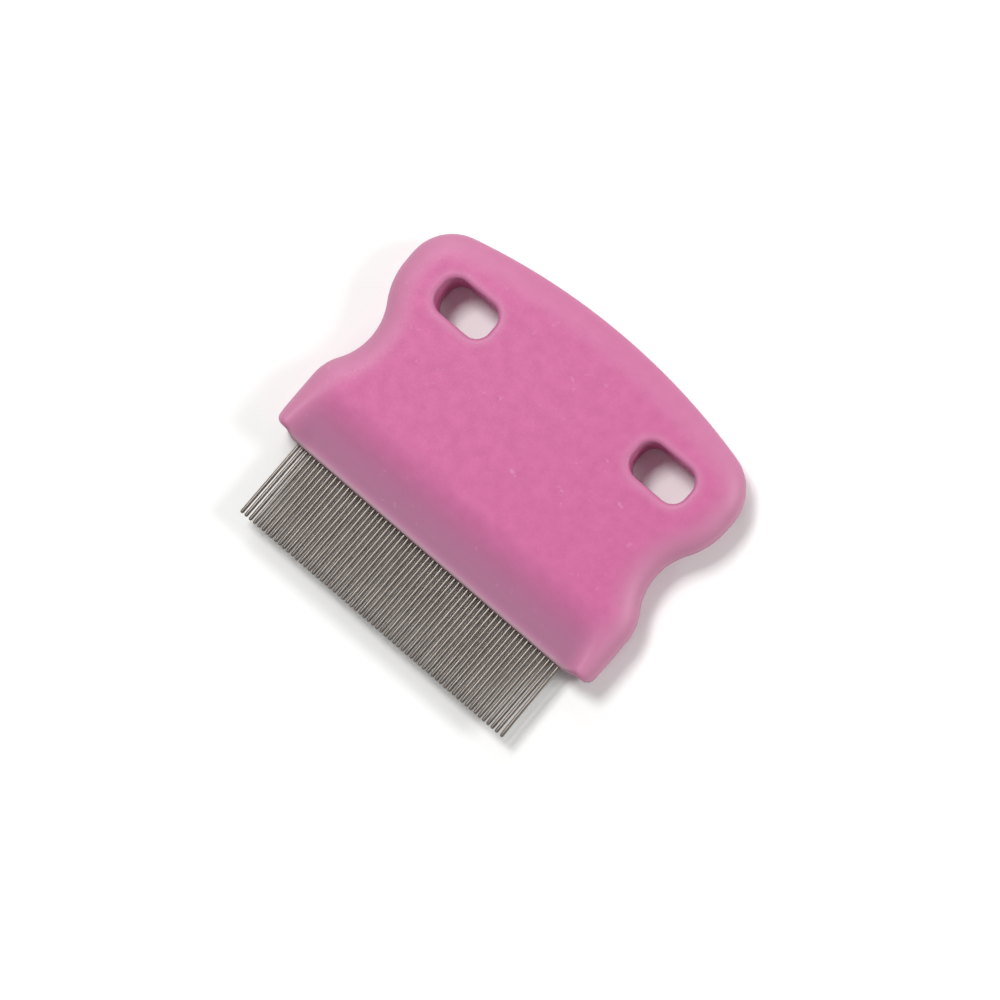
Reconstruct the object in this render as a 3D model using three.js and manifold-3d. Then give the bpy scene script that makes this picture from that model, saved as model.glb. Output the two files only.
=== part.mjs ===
// A small flea comb: one moulded plastic handle holding a row of round steel wires.
//
// All lengths are in millimetres. The comb lies on its back. X runs along the row of teeth,
// +Y runs from the tooth tips to the crown of the handle, and +Z points out of the upper face.
// The shapes are built around the middle of the lip, the edge that the teeth leave, with z = 0
// halfway through the thickness. The last group moves the origin to the middle of the comb's
// footprint, on the surface that it lies on. Both faces of the handle are alike.

import * as THREE from 'three';
import { mergeVertices } from 'three/addons/utils/BufferGeometryUtils.js';
import Module from 'manifold-3d';

// Whole comb
const WIDTH = 68; // across the two ears
const LENGTH = 61.6; // tooth tips to crown
const THICKNESS = 9;

// Teeth: straight wires with domed tips
const TOOTH_COUNT = 62;
const TOOTH_PITCH = 0.91;
const TOOTH_RADIUS = 0.325;
const TOOTH_OUT = 14.4; // bare length in front of the lip
const TOOTH_BURIED = 8.5; // length held inside the handle
const TOOTH_SIDES = 8;
const TIP_STEPS = 3;
const SOCKET_CLEARANCE = 0.02; // all round each wire and behind its end
const PAIR_COUNT = 3; // pairs of wires in the middle of the row joined at their buried ends

// Handle outline, as half-widths, heights above the lip and radii
const EAR_HALF = WIDTH / 2;
const WAIST_HALF = 30.15;
const BASE_HALF = 33.4;
const SHOULDER_HEIGHT = 10.2; // where the straight side of the base starts to turn in
const CROWN_HEIGHT = LENGTH - TOOTH_OUT;
const SHOULDER_RADIUS = 8.8;
const WAIST_RADIUS = 10.7; // the hollow for a finger
const EAR_UNDER_RADIUS = 13.3;
const EAR_TOP_RADIUS = 8.3;
const CROWN_RADIUS = 114;
const ARC_STEPS = 5;

// Rounding of the handle's outer edge, on each face
const RIM_WIDTH = 4.2;
const RIM_DROP = 3.7;
const RIM_STEPS = 5;

// Base of the handle: a tongue that carries the teeth, with a blunt corner on each side
const TONGUE_HALF = 29.4;
const CORNER_SETBACK = 0.7; // the corners stand this far behind the lip
const CORNER_RADIUS = 1.8;
const CORNER_SWEEP = THREE.MathUtils.degToRad(80);
const BASE_EDGE_ROUND = 1.5;
const BASE_EDGE_STEPS = 3;

// Scoop: the hollow on each face that thins the handle down to the lip
const LIP_THICKNESS = 2.8;
const SCOOP_HALF = 28;
const SCOOP_SLOPE = THREE.MathUtils.degToRad(22);
const SCOOP_START = 0.3; // height above the lip where the flat lip starts to rise
const SCOOP_LOW_RADIUS = 3.8; // hollow curve next to the lip
const SCOOP_HIGH_RADIUS = 14; // broad rounded curve where it meets the face
const SCOOP_END_WIDTH = 1.8; // width of the curved wall at each end of the scoop
const SCOOP_STEPS = 3;

// Hang slots: two rounded oblong holes with softened edges
const SLOT_LENGTH = 10.8;
const SLOT_WIDTH = 6.5;
const SLOT_CORNER = 2.6;
const SLOT_SPACING = 41.4;
const SLOT_HEIGHT = 34.1; // above the lip
const SLOT_EDGE_WIDTH = 0.8;
const SLOT_EDGE_DROP = 0.7;
const SLOT_STEPS = 3;

const CUTTER_REACH = 20; // how far cutting shapes run past the handle
const SAME_POINT = 1e-4; // points closer than this are one point

const PINK = 0xd970a8;
const STEEL = 0xc4beb4;

const wasm = await Module();
wasm.setup();

// Turns a closed surface into a solid that can be joined and cut.
function toSolid(geometry) {
  const bare = geometry.clone();
  bare.deleteAttribute('normal');
  bare.deleteAttribute('uv');
  const merged = mergeVertices(bare, SAME_POINT);
  return new wasm.Manifold(new wasm.Mesh({
    numProp: 3,
    vertProperties: new Float32Array(merged.attributes.position.array),
    triVerts: new Uint32Array(merged.index.array),
  }));
}

// Turns a solid back into a surface that a mesh can hold.
function toGeometry(solid) {
  const mesh = solid.getMesh();
  const geometry = new THREE.BufferGeometry();
  geometry.setAttribute('position', new THREE.BufferAttribute(mesh.vertProperties, 3));
  geometry.setIndex(new THREE.BufferAttribute(mesh.triVerts, 1));
  geometry.computeVertexNormals();
  return geometry;
}

function plasticMaterial() {
  return new THREE.MeshStandardMaterial({ color: PINK, roughness: 0.45, metalness: 0 });
}

function steelMaterial() {
  return new THREE.MeshStandardMaterial({ color: STEEL, roughness: 0.3, metalness: 1 });
}

// The distance along Y between two circle centres that touch, given their distance along X.
function riseBetween(centreDistance, alongX) {
  return Math.sqrt(centreDistance ** 2 - alongX ** 2);
}

// A closed outline through the points of a path, without the repeats where two curves meet.
function shapeThrough(points) {
  const kept = points.filter((point, place) => {
    const previous = points.at(place - 1);
    return point.distanceTo(previous) > SAME_POINT;
  });
  return new THREE.Shape(kept);
}

// Mirrors an open right-hand path that ends on the centre line into a closed outline.
function mirroredShape(rightPoints) {
  const leftPoints = rightPoints
    .filter((point) => point.x > SAME_POINT)
    .map((point) => new THREE.Vector2(-point.x, point.y))
    .reverse();
  return shapeThrough([...rightPoints, ...leftPoints]);
}

// The handle seen from above, with its sides carried on below the lip.
function plateOutline() {
  const shoulder = new THREE.Vector2(BASE_HALF - SHOULDER_RADIUS, SHOULDER_HEIGHT);
  const waistTouch = SHOULDER_RADIUS + WAIST_RADIUS;
  const waistX = WAIST_HALF + WAIST_RADIUS;
  const waistY = shoulder.y + riseBetween(waistTouch, waistX - shoulder.x);
  const underTouch = WAIST_RADIUS + EAR_UNDER_RADIUS;
  const underX = EAR_HALF - EAR_UNDER_RADIUS;
  const underY = waistY + riseBetween(underTouch, waistX - underX);
  const topX = EAR_HALF - EAR_TOP_RADIUS;
  const crownY = CROWN_HEIGHT - CROWN_RADIUS;
  const topY = crownY + riseBetween(CROWN_RADIUS - EAR_TOP_RADIUS, topX);

  const shoulderTurn = Math.atan2(waistY - shoulder.y, waistX - shoulder.x);
  const underTurn = Math.atan2(underY - waistY, waistX - underX);
  const topTurn = Math.atan2(topY - crownY, topX);

  const side = new THREE.Path();
  side.moveTo(BASE_HALF, -CUTTER_REACH);
  side.lineTo(BASE_HALF, SHOULDER_HEIGHT);
  side.absarc(shoulder.x, shoulder.y, SHOULDER_RADIUS, 0, shoulderTurn, false);
  side.absarc(waistX, waistY, WAIST_RADIUS, Math.PI + shoulderTurn, Math.PI - underTurn, true);
  side.absarc(underX, underY, EAR_UNDER_RADIUS, -underTurn, 0, false);
  side.absarc(topX, topY, EAR_TOP_RADIUS, 0, topTurn, false);
  side.absarc(0, crownY, CROWN_RADIUS, topTurn, Math.PI / 2, false);
  return mirroredShape(side.getPoints(ARC_STEPS));
}

// Everything above the base edge: the tongue and the two blunt corners.
function baseOutline() {
  const cornerX = BASE_HALF - CORNER_RADIUS;
  const cornerY = CORNER_SETBACK + CORNER_RADIUS;
  const startAngle = -Math.PI / 2;
  const side = new THREE.Path();
  side.moveTo(0, 0);
  side.lineTo(TONGUE_HALF, 0);
  side.lineTo(TONGUE_HALF + CORNER_SETBACK, CORNER_SETBACK);
  side.absarc(cornerX, cornerY, CORNER_RADIUS, startAngle, startAngle + CORNER_SWEEP);

  // The side leans outwards from the end of the corner, so it clears the rest of the handle.
  const sideLength = 2 * CROWN_HEIGHT;
  const sideX = side.currentPoint.x + sideLength * Math.cos(CORNER_SWEEP);
  const sideY = side.currentPoint.y + sideLength * Math.sin(CORNER_SWEEP);
  side.lineTo(sideX, sideY);
  side.lineTo(0, sideY);
  return mirroredShape(side.getPoints(ARC_STEPS));
}

// An outline drawn out through the thickness, with both of its outer edges rounded.
function roundedSlab(outline, edgeWidth, edgeDrop, edgeSteps) {
  const depth = THICKNESS - 2 * edgeDrop;
  const slab = new THREE.ExtrudeGeometry(outline, {
    depth,
    bevelThickness: edgeDrop,
    bevelSize: edgeWidth,
    bevelOffset: -edgeWidth,
    bevelSegments: edgeSteps,
  });
  slab.translate(0, 0, -depth / 2);
  return slab;
}

// The material that is taken away above the lip of the upper face. The profile is drawn in
// the plane of Y and Z and then drawn out along X, with curved walls at both ends.
function scoopCutter() {
  const lipZ = LIP_THICKNESS / 2;
  const depth = THICKNESS / 2 - lipZ;
  const curveRise = (SCOOP_LOW_RADIUS + SCOOP_HIGH_RADIUS) * (1 - Math.cos(SCOOP_SLOPE));
  const straightRun = (depth - curveRise) / Math.tan(SCOOP_SLOPE);
  const lowRun = SCOOP_LOW_RADIUS * Math.sin(SCOOP_SLOPE);
  const highRun = SCOOP_HIGH_RADIUS * Math.sin(SCOOP_SLOPE);
  const highY = SCOOP_START + lowRun + straightRun + highRun;
  const highZ = THICKNESS / 2 - SCOOP_HIGH_RADIUS;
  const lowZ = lipZ + SCOOP_LOW_RADIUS;
  const lowStart = -Math.PI / 2;
  const highEnd = Math.PI / 2;

  const profile = new THREE.Path();
  profile.moveTo(-CUTTER_REACH, lipZ);
  profile.lineTo(SCOOP_START, lipZ);
  profile.absarc(SCOOP_START, lowZ, SCOOP_LOW_RADIUS, lowStart, lowStart + SCOOP_SLOPE);
  profile.absarc(highY, highZ, SCOOP_HIGH_RADIUS, highEnd + SCOOP_SLOPE, highEnd, true);
  profile.lineTo(CUTTER_REACH, THICKNESS / 2);
  profile.lineTo(CUTTER_REACH, CUTTER_REACH);
  profile.lineTo(-CUTTER_REACH, CUTTER_REACH);

  const length = 2 * SCOOP_HALF;
  const cutter = new THREE.ExtrudeGeometry(shapeThrough(profile.getPoints(SCOOP_STEPS)), {
    depth: length,
    bevelThickness: SCOOP_END_WIDTH,
    bevelSize: depth,
    bevelOffset: -depth,
    bevelSegments: RIM_STEPS,
  });
  cutter.translate(0, 0, -length / 2);
  cutter.rotateX(Math.PI / 2);
  cutter.rotateZ(Math.PI / 2);
  return cutter;
}

// An oblong with round corners, centred on the origin.
function slotOutline() {
  const cornerX = SLOT_LENGTH / 2 - SLOT_CORNER;
  const cornerY = SLOT_WIDTH / 2 - SLOT_CORNER;
  const outline = new THREE.Path();
  for (let quarter = 0; quarter < 4; quarter += 1) {
    const startAngle = (quarter * Math.PI) / 2;
    const middleAngle = startAngle + Math.PI / 4;
    const endAngle = startAngle + Math.PI / 2;
    const x = cornerX * Math.sign(Math.cos(middleAngle));
    const y = cornerY * Math.sign(Math.sin(middleAngle));
    outline.absarc(x, y, SLOT_CORNER, startAngle, endAngle);
  }
  return shapeThrough(outline.getPoints(SLOT_STEPS));
}

// A hang slot's hole, flared at both faces so that its edges come out rounded.
function slotCutter(centreX) {
  const depth = THICKNESS - 2 * SLOT_EDGE_DROP;
  const cutter = new THREE.ExtrudeGeometry(slotOutline(), {
    depth,
    bevelThickness: SLOT_EDGE_DROP,
    bevelSize: -SLOT_EDGE_WIDTH,
    bevelOffset: SLOT_EDGE_WIDTH,
    bevelSegments: SLOT_STEPS,
  });
  cutter.translate(centreX, SLOT_HEIGHT, -depth / 2);
  return cutter;
}

function toothX(index) {
  return (index - (TOOTH_COUNT - 1) / 2) * TOOTH_PITCH;
}

// One wire, from the middle of its domed tip to its square-cut buried end.
function toothGeometry() {
  const profile = [new THREE.Vector2(0, -TOOTH_OUT)];
  for (let step = 1; step <= TIP_STEPS; step += 1) {
    const angle = (step / TIP_STEPS) * (Math.PI / 2);
    const fromTip = TOOTH_RADIUS * (1 - Math.cos(angle));
    profile.push(new THREE.Vector2(TOOTH_RADIUS * Math.sin(angle), fromTip - TOOTH_OUT));
  }
  profile.push(new THREE.Vector2(TOOTH_RADIUS, TOOTH_BURIED));
  profile.push(new THREE.Vector2(0, TOOTH_BURIED));
  return new THREE.LatheGeometry(profile, TOOTH_SIDES);
}

// The short bar that joins the buried ends of two neighbouring wires, or the room for it.
function joinBar(clearance) {
  const radius = TOOTH_RADIUS + clearance;
  const bar = new THREE.CylinderGeometry(radius, radius, TOOTH_PITCH, TOOTH_SIDES);
  bar.rotateZ(Math.PI / 2);
  bar.translate(TOOTH_PITCH / 2, TOOTH_BURIED - TOOTH_RADIUS, 0);
  return bar;
}

// Two wires and the bar between them, with the first wire on the Y axis.
function pairGeometry() {
  const first = toSolid(toothGeometry());
  const second = toSolid(toothGeometry().translate(TOOTH_PITCH, 0, 0));
  return toGeometry(first.add(second).add(toSolid(joinBar(0))));
}

// The blind hole that one wire sits in.
function socketCutter(centreX) {
  const radius = TOOTH_RADIUS + SOCKET_CLEARANCE;
  const inside = TOOTH_BURIED + SOCKET_CLEARANCE;
  const length = inside + CUTTER_REACH;
  const socket = new THREE.CylinderGeometry(radius, radius, length, TOOTH_SIDES);
  socket.translate(centreX, inside - length / 2, 0);
  return socket;
}

function isPairStart(index) {
  const firstPaired = TOOTH_COUNT / 2 - PAIR_COUNT;
  const place = index - firstPaired;
  return place >= 0 && place < 2 * PAIR_COUNT && place % 2 === 0;
}

function handleGeometry() {
  const plate = toSolid(roundedSlab(plateOutline(), RIM_WIDTH, RIM_DROP, RIM_STEPS));
  const baseSlab = roundedSlab(baseOutline(), BASE_EDGE_ROUND, BASE_EDGE_ROUND, BASE_EDGE_STEPS);
  let handle = plate.intersect(toSolid(baseSlab));
  handle = handle.subtract(toSolid(scoopCutter()));
  handle = handle.subtract(toSolid(scoopCutter().rotateY(Math.PI)));
  for (const side of [-1, 1]) {
    handle = handle.subtract(toSolid(slotCutter((side * SLOT_SPACING) / 2)));
  }
  for (let index = 0; index < TOOTH_COUNT; index += 1) {
    handle = handle.subtract(toSolid(socketCutter(toothX(index))));
    if (isPairStart(index)) {
      const room = joinBar(SOCKET_CLEARANCE).translate(toothX(index), 0, 0);
      handle = handle.subtract(toSolid(room));
    }
  }
  return toGeometry(handle);
}

function makeHandle() {
  const handle = new THREE.Mesh(handleGeometry(), plasticMaterial());
  handle.name = 'handle';
  return handle;
}

function twoDigits(number) {
  return String(number).padStart(2, '0');
}

// The row of teeth, numbered from the left.
function makeTeeth() {
  const row = new THREE.Group();
  let index = 0;
  while (index < TOOTH_COUNT) {
    const paired = isPairStart(index);
    const tooth = new THREE.Mesh(paired ? pairGeometry() : toothGeometry(), steelMaterial());
    const first = twoDigits(index + 1);
    tooth.name = paired ? `teeth_${first}_${twoDigits(index + 2)}` : `tooth_${first}`;
    tooth.position.x = toothX(index);
    row.add(tooth);
    index += paired ? 2 : 1;
  }
  return row;
}

const comb = new THREE.Group();
comb.add(makeHandle());
comb.add(makeTeeth());
comb.position.set(0, TOOTH_OUT - LENGTH / 2, THICKNESS / 2);

const part = new THREE.Group();
part.add(comb);

export default part;
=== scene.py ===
"""Looks for a small flea comb: one moulded plastic handle that holds 62 round steel wires.

The comb lies on its back on a pale floor. Its shapes are worked out in millimetres around the
middle of the lip, the edge that the wires leave: x runs along the row, y from the wire tips to
the crown, and z is 0 halfway through the thickness. Both faces of the handle are alike.
"""

import math
import random

import bpy
import numpy as np
from mathutils import Matrix, Vector
from mathutils.geometry import delaunay_2d_cdt


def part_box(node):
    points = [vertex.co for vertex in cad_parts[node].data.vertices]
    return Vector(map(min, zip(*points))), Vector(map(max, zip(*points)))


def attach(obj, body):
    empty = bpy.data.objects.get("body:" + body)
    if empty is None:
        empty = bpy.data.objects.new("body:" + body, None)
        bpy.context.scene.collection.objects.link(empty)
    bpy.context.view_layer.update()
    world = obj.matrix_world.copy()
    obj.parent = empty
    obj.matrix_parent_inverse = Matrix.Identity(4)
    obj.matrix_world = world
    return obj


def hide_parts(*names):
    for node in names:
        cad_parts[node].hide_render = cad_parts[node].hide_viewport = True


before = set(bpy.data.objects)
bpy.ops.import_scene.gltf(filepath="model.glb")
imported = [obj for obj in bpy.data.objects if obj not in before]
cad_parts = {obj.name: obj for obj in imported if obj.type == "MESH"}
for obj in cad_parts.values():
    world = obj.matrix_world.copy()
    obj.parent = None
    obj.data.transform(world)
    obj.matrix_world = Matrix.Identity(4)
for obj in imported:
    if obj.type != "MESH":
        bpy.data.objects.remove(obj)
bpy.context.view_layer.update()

MM = 0.001
BODY = "root"

# The frame: where the lip is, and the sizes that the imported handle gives
HANDLE_LOW, HANDLE_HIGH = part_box("handle")
LIP = Vector((0, HANDLE_LOW.y, (HANDLE_LOW.z + HANDLE_HIGH.z) / 2))
EAR_HALF = (HANDLE_HIGH.x - HANDLE_LOW.x) / 2 / MM
CROWN_HEIGHT = (HANDLE_HIGH.y - HANDLE_LOW.y) / MM
HALF_THICKNESS = (HANDLE_HIGH.z - HANDLE_LOW.z) / 2 / MM

# Handle outline: half-widths, heights above the lip and radii
WAIST_HALF = 30.15
BASE_HALF = 33.4
SHOULDER_HEIGHT = 10.2
SHOULDER_RADIUS = 8.8
WAIST_RADIUS = 10.7
EAR_UNDER_RADIUS = 13.3
EAR_TOP_RADIUS = 8.3
CROWN_RADIUS = 114
TONGUE_END = 28.6  # where the lip's edge starts to turn back to the corners
CORNER_START = 31.0
CORNER_SETBACK = 0.7
CORNER_RADIUS = 1.8
OUTLINE_STEP = 0.35

# Rounding of the outer edge, of the front edge and of the slots' edges
RIM_WIDTH = 5.6
RIM_DROP = 3.7
RIM_POWER = 2.5  # above 2, the rounding eases into the face
LIP_ROUND = 0.4
CORNER_ROUND = 0.9
FRONT_EDGE_SHARE = 0.72  # of the thickness that is left at the very edge
SLOT_EDGE_WIDTH = 0.8
SLOT_EDGE_DROP = 0.7
BLEND_POWER = 3  # how sharply neighbouring hollows and roundings meet

# Scoop: the hollow on each face that thins the handle down to the lip
LIP_HALF_THICKNESS = 1.4
SCOOP_SLOPE = math.radians(22)
SCOOP_START = 0.3
SCOOP_LOW_RADIUS = 3.8
SCOOP_HIGH_RADIUS = 14
SCOOP_FULL = 25.5  # half-width at full depth
SCOOP_END = 33.0  # half-width where it runs out

# Hang slots
SLOT_LENGTH = 10.8
SLOT_WIDTH = 6.5
SLOT_CORNER = 2.6
SLOT_SPACING = 41.4
SLOT_HEIGHT = 34.1

# Parting line of the mould, a low ridge round the outer edge and inside the slots
RIDGE_HEIGHT = 0.04
RIDGE_HALF_WIDTH = 0.07

# Where painted light changes the plastic's colour: painted sheen makes rounded edges and the slots'
# rims paler, a painted grey sheen marks the lip, and over the wires the plastic is greyer, partly
# steel seen through it and partly painted shade of the scoop
EDGE_PALE_FULL = 0.8
EDGE_PALE_END = 6.0
CROWN_PALE_SHARE = 0.55  # the crown is less pale than the sides
CROWN_PALE_START = 39.0
SLOT_PALE_SHARE = 0.7
SLOT_PALE_END = 2.2
LIP_PALE_FULL = 0.2
LIP_PALE_END = 1.2
WIRE_SHADE_FULL_X = 27.5
WIRE_SHADE_END_X = 34.0
WIRE_SHADE_FULL_Y = 1.5
WIRE_SHADE_END_Y = 13.0

# Fineness of the handle's mesh
RING_COUNT = 8
RING_DEPTH = 0.9  # how far in from each edge the rings of points reach
RING_CLEARANCE = 0.97  # share of a ring's depth that its points keep from every edge
GRID_STEP = 0.5
POINT_CHUNK = 1500
SAME_POINT = 1e-6

# Wires
WIRE_COUNT = 62
WIRE_SIDES = 20
TIP_RINGS = 6
SHAFT_RINGS = 12
BEND_LIMIT = 0.03  # sideways, at the tip
LIFT_LIMIT = 0.05  # up or down, at the tip
LAST_SPLAY = 0.2
BEND_SEED = 41

# Camera, in metres in the shared frame
TURN = math.radians(40.33)  # of the comb in the picture
TILT_X = math.radians(9.2)
TILT_Y = math.radians(-1.4)
CAMERA_DISTANCE = 0.6
CAMERA_TARGET = Vector((0.00307, -0.00213, 0.0045))
VIEW_WIDTH = 0.1604
SENSOR_WIDTH = 36  # in millimetres, as for a lens

# Floor and light
FLOOR_HALF = 1.5
LIGHT_DISTANCE = 0.9
WORLD_COLOUR = (1, 1, 0.99, 1)
WORLD_STRENGTH = 0.26

# Colours: a pair holds the darker and the paler end of a soft mottling
PINK = ((0.470, 0.078, 0.238, 1), (0.520, 0.095, 0.272, 1))
# Over the wires: greyer and darker, partly steel seen through the plastic and partly painted shade of
# the scoop
PINK_STEEL_AND_SHADE = (0.392, 0.152, 0.262, 1)
# Painted sheen: the pale reflection that rounded edges and the slots' rims show
PINK_EDGE_SHEEN = (0.51, 0.187, 0.315, 1)
# Painted grey sheen along the lip's edge
PINK_LIP_SHEEN = (0.36, 0.215, 0.260, 1)
# Painted glints: tiny pale spots that stand in for the grain catching the light
PINK_GLINT = (0.60, 0.26, 0.40, 1)
STEEL = ((0.19, 0.163, 0.144, 1), (0.32, 0.280, 0.252, 1))
FLOOR = ((0.89, 0.89, 0.88, 1), (0.91, 0.91, 0.90, 1))

# Textures: sizes and heights in metres
CLOUD_SIZE = 0.0022
# Size of the painted glints' spots
GLINT_SIZE = 0.0014
GRAIN_SIZE = 0.00028
GRAIN_HEIGHT = 0.00003
GRAIN_STRENGTH = 0.25
STREAK_SIZE = 0.00012
STREAK_STRETCH = (1, 0.02, 1)  # long along the wire
STREAK_HEIGHT = 0.00001
STREAK_STRENGTH = 0.2
FLOOR_CLOUD_SIZE = 0.05

# The stretch of a noise's values that a change is spread over, out of 0 to 1
USUAL_RANGE = (0.3, 0.7)
CLOUD_RANGE = (0.32, 0.68)
# Noise values over which the painted glints appear, and their strongest share
GLINT_RANGE = (0.66, 0.78)
GLINT_SHARE = 0.4

# How the surfaces reflect
PLASTIC_IOR = 1.49
PLASTIC_ROUGHNESS = (0.46, 0.58)
STEEL_ROUGHNESS = (0.32, 0.45)
FLOOR_ROUGHNESS = 0.8

# Numbers of the colour mixing node's sockets
MIX_SHARE = 0
MIX_COLOURS = (6, 7)
MIX_RESULT = 2


def add_object(name, data):
    """A new object in the scene, with the given mesh, light or camera."""
    made = bpy.data.objects.new(name, data)
    bpy.context.scene.collection.objects.link(made)
    return made


# ---------------------------------------------------------------- curves

def smooth_between(low, high, value):
    """0 below low, 1 above high, and an S-shaped rise between them."""
    share = np.clip((value - low) / (high - low), 0, 1)
    return share * share * (3 - 2 * share)


def quarter_round(distance, width, power=2):
    """Height, from 0 to 1, of a rounding that starts upright and ends level at width."""
    left = 1 - np.clip(distance / width, 0, 1)
    return (1 - left ** power) ** (1 / power)


def line_points(start, end):
    count = max(1, math.ceil(math.dist(start, end) / OUTLINE_STEP))
    shares = np.linspace(0, 1, count + 1)[:, None]
    return np.array(start) * (1 - shares) + np.array(end) * shares


def arc_points(centre, radius, start, end):
    count = max(1, math.ceil(radius * abs(end - start) / OUTLINE_STEP))
    angles = np.linspace(start, end, count + 1)
    return np.array(centre) + radius * np.column_stack((np.cos(angles), np.sin(angles)))


def without_repeats(points):
    """The points with those that lie on the one before left out."""
    kept = [points[0]]
    for point in points[1:]:
        if math.dist(point, kept[-1]) > SAME_POINT:
            kept.append(point)
    return np.array(kept)


def rise_between(centre_distance, along_x):
    """The distance along y between two circle centres, given their distances apart and along x."""
    return math.sqrt(centre_distance ** 2 - along_x ** 2)


# ---------------------------------------------------------------- handle outline

def corner_share(x):
    """0 along the lip and 1 in the blunt corners beside it."""
    return smooth_between(TONGUE_END, CORNER_START, x)


def front_edge():
    """The right half of the front edge: the lip and the blunt corner."""
    corner = (BASE_HALF - CORNER_RADIUS, CORNER_SETBACK + CORNER_RADIUS)
    x = np.linspace(0, corner[0], math.ceil(corner[0] / OUTLINE_STEP) + 1)
    y = CORNER_SETBACK * corner_share(x)
    turn = arc_points(corner, CORNER_RADIUS, -math.pi / 2, 0)
    return without_repeats(np.vstack((np.column_stack((x, y)), turn)))


def side_edge(start_height):
    """The right half of the rest of the outline, from the straight side to the crown."""
    shoulder = (BASE_HALF - SHOULDER_RADIUS, SHOULDER_HEIGHT)
    waist_x = WAIST_HALF + WAIST_RADIUS
    waist_rise = rise_between(SHOULDER_RADIUS + WAIST_RADIUS, waist_x - shoulder[0])
    waist = (waist_x, shoulder[1] + waist_rise)
    under_x = EAR_HALF - EAR_UNDER_RADIUS
    under_rise = rise_between(WAIST_RADIUS + EAR_UNDER_RADIUS, waist_x - under_x)
    under = (under_x, waist[1] + under_rise)
    crown = (0, CROWN_HEIGHT - CROWN_RADIUS)
    top_x = EAR_HALF - EAR_TOP_RADIUS
    top = (top_x, crown[1] + rise_between(CROWN_RADIUS - EAR_TOP_RADIUS, top_x))

    shoulder_turn = math.atan2(waist_rise, waist_x - shoulder[0])
    under_turn = math.atan2(under_rise, waist_x - under_x)
    top_turn = math.atan2(top[1] - crown[1], top_x)

    return without_repeats(np.vstack((
        line_points((BASE_HALF, start_height), (BASE_HALF, SHOULDER_HEIGHT)),
        arc_points(shoulder, SHOULDER_RADIUS, 0, shoulder_turn),
        arc_points(waist, WAIST_RADIUS, math.pi + shoulder_turn, math.pi - under_turn),
        arc_points(under, EAR_UNDER_RADIUS, -under_turn, 0),
        arc_points(top, EAR_TOP_RADIUS, 0, top_turn),
        arc_points(crown, CROWN_RADIUS, top_turn, math.pi / 2),
    )))


def outer_loop():
    """The whole outline, running anticlockwise."""
    front = front_edge()
    right = without_repeats(np.vstack((front, side_edge(front[-1][1]))))
    left = right[1:-1][::-1] * (-1, 1)
    return np.vstack((right, left))


def slot_loop(side):
    """One hang slot's wall, running clockwise, so that the material is on the left as well."""
    centre = np.array((side * SLOT_SPACING / 2, SLOT_HEIGHT))
    corner = np.array((SLOT_LENGTH / 2 - SLOT_CORNER, SLOT_WIDTH / 2 - SLOT_CORNER))
    points = []
    for quarter in range(4):
        start = quarter * math.pi / 2
        middle = start + math.pi / 4
        turned = (math.copysign(1, math.cos(middle)), math.copysign(1, math.sin(middle)))
        round_corner = arc_points(centre + corner * turned, SLOT_CORNER, start, start + math.pi / 2)
        if points:
            points.extend(line_points(points[-1], round_corner[0]))
        points.extend(round_corner)
    points.extend(line_points(points[-1], points[0])[:-1])
    return without_repeats(np.array(points))[::-1]


def outward_normals(loop):
    """Unit vectors that point out of the material at each point of a loop."""
    along = np.roll(loop, -1, axis=0) - np.roll(loop, 1, axis=0)
    normals = np.column_stack((along[:, 1], -along[:, 0]))
    return normals / np.linalg.norm(normals, axis=1)[:, None]


# ---------------------------------------------------------------- distances

def distance_to_path(points, path, closed=False):
    """How far each point is from a path of straight pieces."""
    starts = path if closed else path[:-1]
    ends = np.roll(path, -1, axis=0) if closed else path[1:]
    pieces = ends - starts
    lengths = (pieces ** 2).sum(axis=1)
    nearest = []
    for first in range(0, len(points), POINT_CHUNK):
        offsets = points[first:first + POINT_CHUNK, None, :] - starts[None, :, :]
        shares = np.clip((offsets * pieces).sum(axis=2) / lengths, 0, 1)
        gaps = offsets - shares[:, :, None] * pieces
        nearest.append(np.sqrt((gaps ** 2).sum(axis=2).min(axis=1)))
    return np.concatenate(nearest)


def inside_loop(points, loop):
    """Whether each point is inside a loop, by counting crossings to its right."""
    starts = loop
    ends = np.roll(loop, -1, axis=0)
    inside = np.zeros(len(points), bool)
    for start, end in zip(starts, ends):
        if start[1] == end[1]:
            continue
        spans = (start[1] > points[:, 1]) != (end[1] > points[:, 1])
        crossing = start[0] + (points[:, 1] - start[1]) * (end[0] - start[0]) / (end[1] - start[1])
        inside ^= spans & (points[:, 0] < crossing)
    return inside


def distance_to_slot(points):
    """How far each point is outside the nearer slot's wall."""
    across = np.abs(np.abs(points[:, 0]) - SLOT_SPACING / 2) - (SLOT_LENGTH / 2 - SLOT_CORNER)
    along = np.abs(points[:, 1] - SLOT_HEIGHT) - (SLOT_WIDTH / 2 - SLOT_CORNER)
    outside = np.hypot(np.maximum(across, 0), np.maximum(along, 0))
    return outside + np.minimum(np.maximum(across, along), 0) - SLOT_CORNER


def on_right_half(points):
    """The points, with those on the left half moved to their mirror places on the right."""
    return np.column_stack((np.abs(points[:, 0]), points[:, 1]))


def distance_to_rim(points):
    """How far each point is from the sides and the crown; the sides run on past the lip."""
    return distance_to_path(on_right_half(points), side_edge(-CROWN_HEIGHT))


def distance_to_front(points):
    """How far each point is from the lip and the blunt corners."""
    return distance_to_path(on_right_half(points), front_edge())


# ---------------------------------------------------------------- handle height

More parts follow.
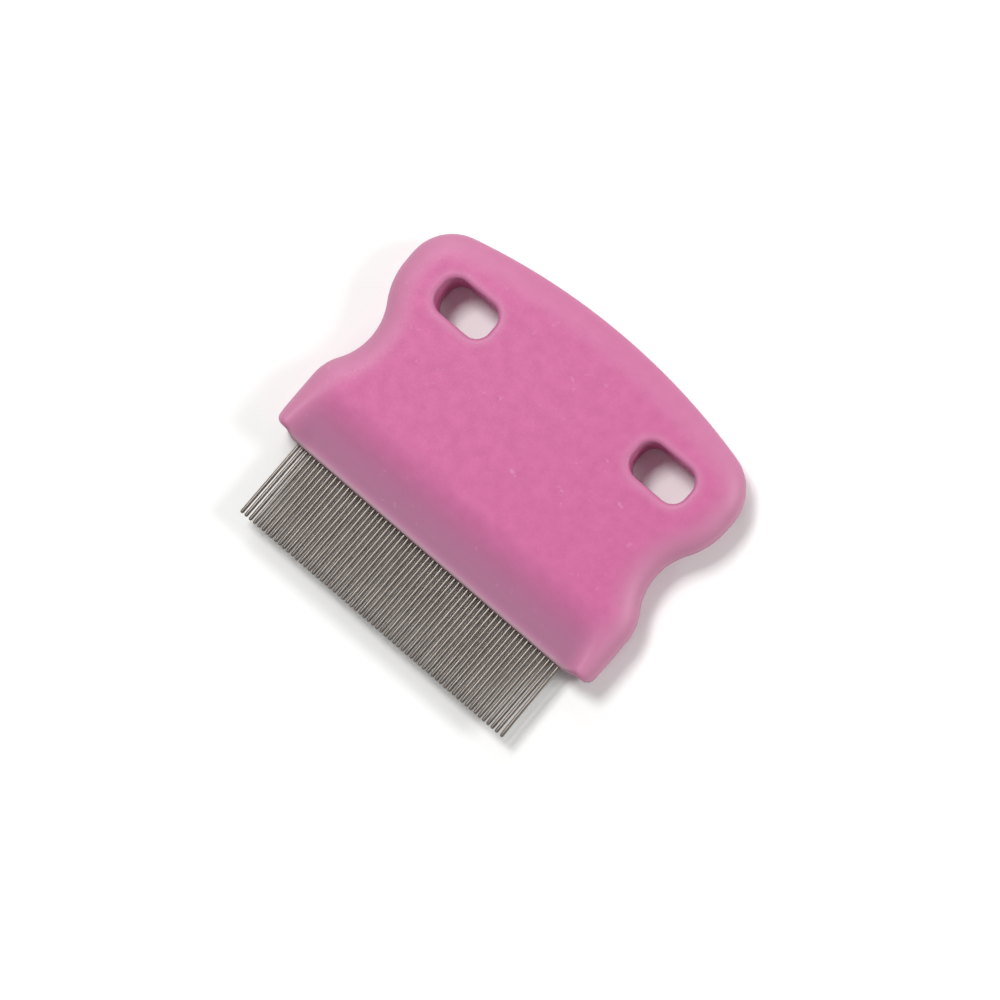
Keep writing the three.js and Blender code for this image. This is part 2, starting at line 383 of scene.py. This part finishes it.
def scoop_share(y):
    """Depth of the scoop at a height above the lip, from 1 at the lip to 0 on the face."""
    depth = HALF_THICKNESS - LIP_HALF_THICKNESS
    level = 1 - math.cos(SCOOP_SLOPE)
    straight_rise = depth - (SCOOP_LOW_RADIUS + SCOOP_HIGH_RADIUS) * level
    low_end = SCOOP_START + SCOOP_LOW_RADIUS * math.sin(SCOOP_SLOPE)
    high_start = low_end + straight_rise / math.tan(SCOOP_SLOPE)
    top = high_start + SCOOP_HIGH_RADIUS * math.sin(SCOOP_SLOPE)
    from_start = np.clip(y - SCOOP_START, 0, low_end - SCOOP_START)
    from_top = np.clip(top - y, 0, top - high_start)
    low_rise = SCOOP_LOW_RADIUS - np.sqrt(SCOOP_LOW_RADIUS ** 2 - from_start ** 2)
    middle_rise = np.clip(y - low_end, 0, high_start - low_end) * math.tan(SCOOP_SLOPE)
    high_full = SCOOP_HIGH_RADIUS * level
    high_rise = high_full - (SCOOP_HIGH_RADIUS - np.sqrt(SCOOP_HIGH_RADIUS ** 2 - from_top ** 2))
    return 1 - (low_rise + middle_rise + high_rise) / depth


def handle_heights(points):
    """How far each point of the upper face lies above the middle of the thickness."""
    across = np.abs(points[:, 0])
    from_rim = distance_to_rim(points) - RIDGE_HEIGHT
    from_front = distance_to_front(points) - RIDGE_HEIGHT
    from_slot = distance_to_slot(points) - RIDGE_HEIGHT

    rim = RIM_DROP * (1 - quarter_round(from_rim, RIM_WIDTH, RIM_POWER))
    slot = SLOT_EDGE_DROP * (1 - quarter_round(from_slot, SLOT_EDGE_WIDTH))
    scoop_width = 1 - smooth_between(SCOOP_FULL, SCOOP_END, across)
    scoop = (HALF_THICKNESS - LIP_HALF_THICKNESS) * scoop_share(points[:, 1]) * scoop_width
    drops = np.column_stack((rim, slot, scoop))
    drop = (drops ** BLEND_POWER).sum(axis=1) ** (1 / BLEND_POWER)

    round_width = LIP_ROUND + (CORNER_ROUND - LIP_ROUND) * corner_share(across)
    front = FRONT_EDGE_SHARE + (1 - FRONT_EDGE_SHARE) * quarter_round(from_front, round_width)
    return (HALF_THICKNESS - drop) * front


# ---------------------------------------------------------------- handle mesh

def ring_points(loop, loops):
    """Points in rings inside one edge, closer together the nearer they are to it."""
    normals = outward_normals(loop)
    rings = []
    for ring in range(1, RING_COUNT + 1):
        depth = RING_DEPTH * (ring / RING_COUNT) ** 2
        points = loop - depth * normals
        gap = np.min([distance_to_path(points, other, closed=True) for other in loops], axis=0)
        rings.append(points[gap > depth * RING_CLEARANCE])
    return np.vstack(rings)


def inside_material(points, loops):
    """Whether each point is inside the outer loop and outside the slots."""
    inside = inside_loop(points, loops[0])
    for hole in loops[1:]:
        inside &= ~inside_loop(points, hole)
    return inside


def grid_points(loops):
    """A grid of staggered points over the rest of the handle."""
    row_step = GRID_STEP * math.sin(math.pi / 3)
    rows = []
    for row, y in enumerate(np.arange(0, CROWN_HEIGHT, row_step)):
        shift = GRID_STEP / 2 * (row % 2)
        x = np.arange(-EAR_HALF + shift, EAR_HALF, GRID_STEP)
        rows.append(np.column_stack((x, np.full_like(x, y))))
    points = np.vstack(rows)
    points = points[inside_material(points, loops)]
    gap = np.min([distance_to_path(points, loop, closed=True) for loop in loops], axis=0)
    return points[gap > RING_DEPTH + GRID_STEP / 3]


def triangulate(loops, inner_points):
    """Triangles between the loops: points, triangles, and each loop as a list of point numbers."""
    points = np.vstack((*loops, inner_points))
    starts = np.cumsum([0] + [len(loop) for loop in loops])
    edges = []
    for start, loop in zip(starts, loops):
        count = len(loop)
        edges.extend((int(start) + i, int(start) + (i + 1) % count) for i in range(count))
    whole_hull = 0
    made = delaunay_2d_cdt(
        [Vector(point) for point in points], edges, [], whole_hull, SAME_POINT, True
    )
    flat = np.array([tuple(point) for point in made[0]])
    triangles = np.array([tuple(triangle) for triangle in made[2]])
    triangles = triangles[inside_material(flat[triangles].mean(axis=1), loops)]
    place = {source: number for number, sources in enumerate(made[3]) for source in sources}
    numbered = [
        [place[int(start) + i] for i in range(len(loop))]
        for start, loop in zip(starts, loops)
    ]
    return flat, triangles.tolist(), numbered


def to_frame(points):
    """Millimetres around the lip to metres in the shared frame."""
    return np.asarray(points) * MM + np.array(LIP)


def edge_sheen_share(points):
    """How far each point is paler with painted sheen: 1 at the sides' edge, less at the crown and the
    slots' edges.
    """
    crown = smooth_between(CROWN_PALE_START, CROWN_HEIGHT, points[:, 1])
    strength = 1 - (1 - CROWN_PALE_SHARE) * crown
    rim = strength * (1 - smooth_between(EDGE_PALE_FULL, EDGE_PALE_END, distance_to_rim(points)))
    slot = SLOT_PALE_SHARE * (1 - smooth_between(0, SLOT_PALE_END, distance_to_slot(points)))
    up_the_wall = np.clip(np.abs(points[:, 2]) / (HALF_THICKNESS - SLOT_EDGE_DROP), 0, 1)
    return np.maximum(rim, slot * up_the_wall)


def lip_sheen_share(points):
    """1 at the lip's edge, where a painted grey sheen makes the plastic look pale and grey, and 0
    just behind it.
    """
    beside = 1 - corner_share(np.abs(points[:, 0]))
    return beside * (1 - smooth_between(LIP_PALE_FULL, LIP_PALE_END, distance_to_front(points)))


def steel_and_shade_share(points):
    """1 at the lip and 0 past the wires' buried ends; the greyer, darker tint there is partly the
    steel seen through the plastic and partly painted shade of the scoop.
    """
    x = np.abs(points[:, 0])
    beside = 1 - smooth_between(WIRE_SHADE_FULL_X, WIRE_SHADE_END_X, x)
    return beside * (1 - smooth_between(WIRE_SHADE_FULL_Y, WIRE_SHADE_END_Y, points[:, 1]))


def add_shares(mesh, name, shares):
    """Keeps one number for each point of the mesh, for its material to read."""
    attribute = mesh.attributes.new(name, "FLOAT", "POINT")
    attribute.data.foreach_set("value", shares.astype(np.float32))


def handle_mesh():
    edges = [outer_loop(), slot_loop(-1), slot_loop(1)]
    normals = [outward_normals(edge) for edge in edges]
    walls = [edge - RIDGE_HEIGHT * normal for edge, normal in zip(edges, normals)]
    inner = np.vstack([ring_points(wall, walls) for wall in walls] + [grid_points(walls)])
    flat, triangles, numbered = triangulate(walls, inner)
    heights = handle_heights(flat)
    count = len(flat)

    vertices = [np.column_stack((flat, heights)), np.column_stack((flat, -heights))]
    faces = triangles + [[count + i for i in reversed(triangle)] for triangle in triangles]
    total = 2 * count
    for edge, wall, numbers in zip(edges, walls, numbered):
        levels = ((wall, RIDGE_HALF_WIDTH), (edge, 0), (wall, -RIDGE_HALF_WIDTH))
        rows = [numbers]
        for outline, z in levels:
            vertices.append(np.column_stack((outline, np.full(len(outline), z))))
            rows.append(list(range(total, total + len(outline))))
            total += len(outline)
        rows.append([count + i for i in numbers])
        for upper, lower in zip(rows[:-1], rows[1:]):
            for i in range(len(upper)):
                j = (i + 1) % len(upper)
                faces.append((upper[i], lower[i], lower[j], upper[j]))

    points = np.vstack(vertices)
    mesh = bpy.data.meshes.new("handle_shell")
    mesh.from_pydata(to_frame(points).tolist(), [], faces)
    mesh.shade_smooth()
    # Shares for the material: painted sheen at the edges, steel and painted scoop shade over the
    # wires, painted sheen at the lip
    add_shares(mesh, "sheen_at_edge", edge_sheen_share(points))
    add_shares(mesh, "steel_and_scoop_shade", steel_and_shade_share(points))
    add_shares(mesh, "sheen_at_lip", lip_sheen_share(points))
    return mesh


def make_handle(material):
    handle = add_object("handle_shell", handle_mesh())
    handle.data.materials.append(material)
    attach(handle, BODY)
    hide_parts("handle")


# ---------------------------------------------------------------- wires

def wire_node(index):
    """The CAD node that holds a wire: most have their own, and the middle ones share in pairs."""
    single = f"tooth_{index + 1:02d}"
    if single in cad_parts:
        return single
    first = index + 1 - (1 if f"teeth_{index:02d}_{index + 1:02d}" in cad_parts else 0)
    return f"teeth_{first:02d}_{first + 1:02d}"


def wire_stations(radius, tip_y, end_y):
    """Each ring of a wire as its place along y and its radius, from the tip to the buried end."""
    stations = []
    for ring in range(1, TIP_RINGS + 1):
        angle = ring / TIP_RINGS * math.pi / 2
        stations.append((tip_y + radius * (1 - math.cos(angle)), radius * math.sin(angle)))
    start = stations[-1][0]
    for ring in range(1, SHAFT_RINGS + 1):
        stations.append((start + (end_y - start) * ring / SHAFT_RINGS, radius))
    return stations


def wire_mesh(name, centre, radius, tip_y, end_y, bend, lift):
    """One round wire with a domed tip, which leans by bend and lift at its tip."""
    lip_y = LIP.y

    def middle(y):
        share = max(0, (lip_y - y) / (lip_y - tip_y))
        return centre.x + bend * share ** 2, centre.z + lift * share ** 2

    tip_x, tip_z = middle(tip_y)
    vertices = [(tip_x, tip_y, tip_z)]
    for y, ring_radius in wire_stations(radius, tip_y, end_y):
        x, z = middle(y)
        for side in range(WIRE_SIDES):
            angle = side / WIRE_SIDES * 2 * math.pi
            vertices.append((x + ring_radius * math.cos(angle), y, z + ring_radius * math.sin(angle)))
    faces = []
    for side in range(WIRE_SIDES):
        faces.append((0, 1 + side, 1 + (side + 1) % WIRE_SIDES))
    ring_total = TIP_RINGS + SHAFT_RINGS
    for ring in range(ring_total - 1):
        first = 1 + ring * WIRE_SIDES
        for side in range(WIRE_SIDES):
            after = (side + 1) % WIRE_SIDES
            faces.append((
                first + side,
                first + WIRE_SIDES + side,
                first + WIRE_SIDES + after,
                first + after,
            ))
    last = 1 + (ring_total - 1) * WIRE_SIDES
    faces.append(tuple(last + side for side in reversed(range(WIRE_SIDES))))

    mesh = bpy.data.meshes.new(name)
    mesh.from_pydata(vertices, [], faces)
    mesh.shade_smooth()
    mesh.polygons[-1].use_smooth = False
    return mesh


def make_wires(material):
    first_low, first_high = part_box("tooth_01")
    last_low, last_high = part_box(f"tooth_{WIRE_COUNT:02d}")
    first = (first_low + first_high) / 2
    last = (last_low + last_high) / 2
    radius = (first_high.z - first_low.z) / 2
    chance = random.Random(BEND_SEED)
    for index in range(WIRE_COUNT):
        name = f"wire_{index + 1:02d}"
        centre = first.lerp(last, index / (WIRE_COUNT - 1))
        bend = chance.uniform(-BEND_LIMIT, BEND_LIMIT) * MM
        lift = chance.uniform(-LIFT_LIMIT, LIFT_LIMIT) * MM
        if index == WIRE_COUNT - 1:
            bend = LAST_SPLAY * MM
        mesh = wire_mesh(name, centre, radius, first_low.y, first_high.y, bend, lift)
        wire = add_object(name, mesh)
        mesh.materials.append(material)
        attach(wire, BODY)
        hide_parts(wire_node(index))


# ---------------------------------------------------------------- materials

def new_material(name):
    material = bpy.data.materials.new(name)
    material.use_nodes = True
    return material, material.node_tree, material.node_tree.nodes["Principled BSDF"]


def add_node(tree, kind, values=(), **settings):
    """A node with its settings, and the values of its named inputs."""
    node = tree.nodes.new(kind)
    for name, value in settings.items():
        setattr(node, name, value)
    for name, value in dict(values).items():
        node.inputs[name].default_value = value
    return node


def object_noise(tree, size, detail=2.0, stretch=(1, 1, 1)):
    """Noise fixed to the object, with features of about the given size in metres."""
    place = add_node(tree, "ShaderNodeTexCoord")
    mapping = add_node(tree, "ShaderNodeMapping", {"Scale": [part / size for part in stretch]})
    noise = add_node(tree, "ShaderNodeTexNoise", {"Scale": 1.0, "Detail": detail})
    tree.links.new(place.outputs["Object"], mapping.inputs["Vector"])
    tree.links.new(mapping.outputs["Vector"], noise.inputs["Vector"])
    return noise


def spread(tree, source, source_range, result_range=(0.0, 1.0)):
    """Stretches a value from one range to another, with its ends held."""
    node = add_node(tree, "ShaderNodeMapRange", {
        "From Min": source_range[0],
        "From Max": source_range[1],
        "To Min": result_range[0],
        "To Max": result_range[1],
    })
    tree.links.new(source, node.inputs["Value"])
    return node.outputs["Result"]


def mix_colours(tree, share, first, second):
    """A colour between two, each given as a value or as another node's output."""
    node = tree.nodes.new("ShaderNodeMix")
    node.data_type = "RGBA"
    tree.links.new(share, node.inputs[MIX_SHARE])
    for number, colour in zip(MIX_COLOURS, (first, second)):
        if isinstance(colour, tuple):
            node.inputs[number].default_value = colour
        else:
            tree.links.new(colour, node.inputs[number])
    return node.outputs[MIX_RESULT]


def mottled(tree, noise, noise_range, colours):
    """A colour that wanders between two, following a noise."""
    share = spread(tree, noise.outputs["Fac"], noise_range)
    return mix_colours(tree, share, *colours)


def roughen(tree, shader, noise, roughness_range, strength, height):
    """Lets one noise vary the roughness and raise a fine bump."""
    roughness = spread(tree, noise.outputs["Fac"], USUAL_RANGE, roughness_range)
    tree.links.new(roughness, shader.inputs["Roughness"])
    bump = add_node(tree, "ShaderNodeBump", {"Strength": strength, "Distance": height})
    tree.links.new(noise.outputs["Fac"], bump.inputs["Height"])
    tree.links.new(bump.outputs["Normal"], shader.inputs["Normal"])


def mesh_share(tree, name):
    """A number that the mesh keeps for each of its points."""
    node = add_node(tree, "ShaderNodeAttribute", attribute_name=name)
    return node.outputs["Fac"]


def plastic_material():
    material, tree, shader = new_material("pink_plastic")
    shader.inputs["IOR"].default_value = PLASTIC_IOR

    colour = mottled(tree, object_noise(tree, CLOUD_SIZE, detail=6), CLOUD_RANGE, PINK)
    # Tints: painted sheen at the edges and the lip, and over the wires a tint that is partly steel
    # seen through and partly painted shade
    tints = {"steel_and_scoop_shade": PINK_STEEL_AND_SHADE, "sheen_at_edge": PINK_EDGE_SHEEN, "sheen_at_lip": PINK_LIP_SHEEN}
    for name, tint in tints.items():
        colour = mix_colours(tree, mesh_share(tree, name), colour, tint)
    # Painted glints: small pale spots in the colour where the grain would catch the light
    glints = object_noise(tree, GLINT_SIZE, detail=4)
    glint_share = spread(tree, glints.outputs["Fac"], GLINT_RANGE, (0.0, GLINT_SHARE))
    colour = mix_colours(tree, glint_share, colour, PINK_GLINT)
    tree.links.new(colour, shader.inputs["Base Color"])

    grain = object_noise(tree, GRAIN_SIZE, detail=1)
    roughen(tree, shader, grain, PLASTIC_ROUGHNESS, GRAIN_STRENGTH, GRAIN_HEIGHT)
    return material


def steel_material():
    material, tree, shader = new_material("drawn_steel")
    shader.inputs["Metallic"].default_value = 1.0
    streaks = object_noise(tree, STREAK_SIZE, detail=2, stretch=STREAK_STRETCH)
    tree.links.new(mottled(tree, streaks, USUAL_RANGE, STEEL), shader.inputs["Base Color"])
    roughen(tree, shader, streaks, STEEL_ROUGHNESS, STREAK_STRENGTH, STREAK_HEIGHT)
    return material


def floor_material():
    material, tree, shader = new_material("pale_floor")
    clouds = object_noise(tree, FLOOR_CLOUD_SIZE, detail=4)
    tree.links.new(mottled(tree, clouds, USUAL_RANGE, FLOOR), shader.inputs["Base Color"])
    shader.inputs["Roughness"].default_value = FLOOR_ROUGHNESS
    return material


# ---------------------------------------------------------------- stage, light and camera

def make_floor():
    mesh = bpy.data.meshes.new("floor")
    corners = [(-1, -1), (1, -1), (1, 1), (-1, 1)]
    mesh.from_pydata([(x * FLOOR_HALF, y * FLOOR_HALF, 0) for x, y in corners], [], [(0, 1, 2, 3)])
    floor = add_object("floor", mesh)
    mesh.materials.append(floor_material())


def add_softbox(name, azimuth, elevation, size, power):
    """A square light aimed at the comb. Azimuth 0 is over the wire tips, 90 over the right side."""
    a = math.radians(azimuth)
    e = math.radians(elevation)
    away = Vector((math.sin(a) * math.cos(e), -math.cos(a) * math.cos(e), math.sin(e)))
    light = bpy.data.lights.new(name, "AREA")
    light.size = size
    light.energy = power
    holder = add_object(name, light)
    holder.location = away * LIGHT_DISTANCE
    holder.rotation_mode = "QUATERNION"
    holder.rotation_quaternion = away.to_track_quat("Z", "Y")


def make_light():
    add_softbox("key", azimuth=250, elevation=65, size=0.25, power=5.2)
    add_softbox("crown_left", azimuth=222, elevation=38, size=0.30, power=1.5)
    add_softbox("crown_right", azimuth=125, elevation=36, size=0.30, power=3.6)
    add_softbox("tip_sparkle", azimuth=0, elevation=40, size=0.12, power=0.5)
    world = bpy.data.worlds.new("studio")
    world.use_nodes = True
    background = world.node_tree.nodes["Background"]
    background.inputs["Color"].default_value = WORLD_COLOUR
    background.inputs["Strength"].default_value = WORLD_STRENGTH
    bpy.context.scene.world = world
    bpy.context.scene.view_settings.view_transform = "Standard"


def make_camera():
    toward = Vector((math.tan(TILT_X), math.tan(TILT_Y), 1)).normalized()
    row = Vector((1, 0, 0))
    across = (row - row.dot(toward) * toward).normalized()
    upward = toward.cross(across)
    right = math.cos(TURN) * across + math.sin(TURN) * upward
    up = math.cos(TURN) * upward - math.sin(TURN) * across
    data = bpy.data.cameras.new("camera")
    data.sensor_width = SENSOR_WIDTH
    data.lens = SENSOR_WIDTH * CAMERA_DISTANCE / VIEW_WIDTH
    camera = add_object("camera", data)
    place = Matrix.Translation(CAMERA_TARGET + toward * CAMERA_DISTANCE)
    camera.matrix_world = place @ Matrix((right, up, toward)).transposed().to_4x4()
    bpy.context.scene.camera = camera


make_camera()
make_light()
make_floor()
make_handle(plastic_material())
make_wires(steel_material())
